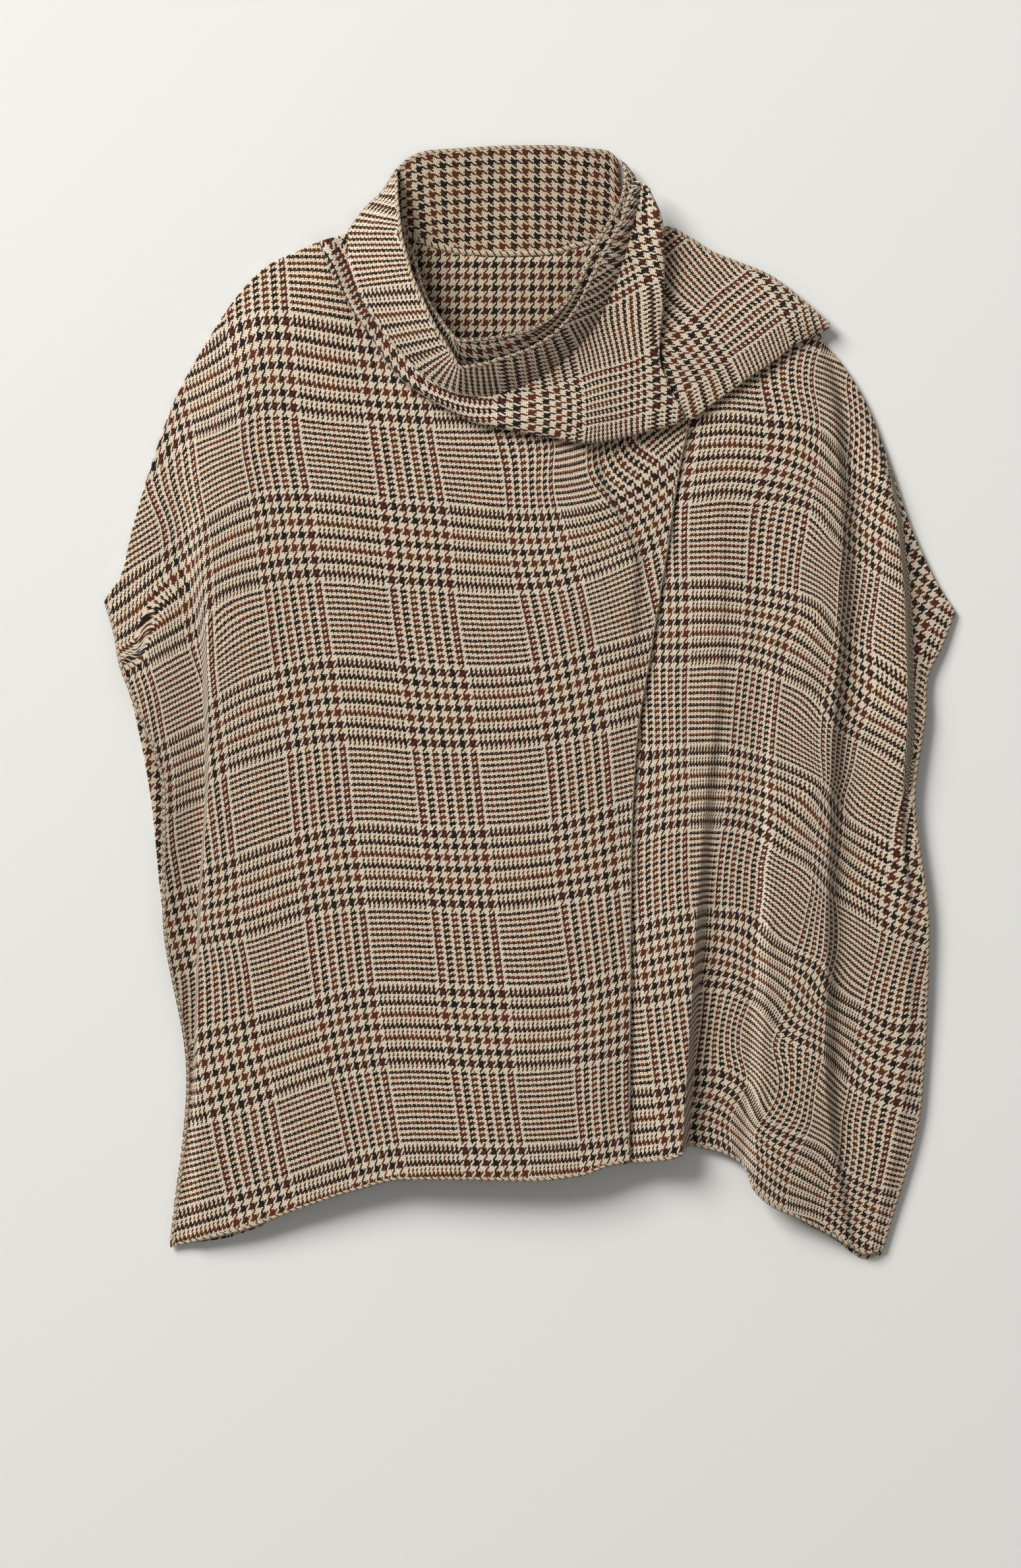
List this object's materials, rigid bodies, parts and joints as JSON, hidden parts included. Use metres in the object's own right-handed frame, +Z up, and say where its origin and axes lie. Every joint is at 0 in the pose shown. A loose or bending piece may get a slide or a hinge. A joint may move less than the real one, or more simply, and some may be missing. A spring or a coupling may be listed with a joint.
{
  "type": "wrap poncho, laid flat",
  "caption": "Checked wool wrap poncho laid flat, front up, with overlapping fronts, open sides and a standing collar whose end is thrown over one shoulder.",
  "frame": {"origin": "centre of the bounding box in plan, on the surface that the poncho lies on", "axes": "+Y towards the collar, +X towards the wearer's left side as seen from above, +Z up from the surface"},
  "size_m": [0.6981, 0.9125, 0.05],
  "materials": {
    "wool_check": "woven twill in cream, black, brown and rust wool yarns, matt and slightly hairy"
  },
  "bodies": {
    "root": {"back_panel": "wool_check", "right_front": "wool_check", "left_front": "wool_check", "collar_back": "wool_check", "collar_under": "wool_check", "collar_wrap": "wool_check", "collar_roll": "wool_check", "scarf_end": "wool_check"}
  },
  "joints": []
}
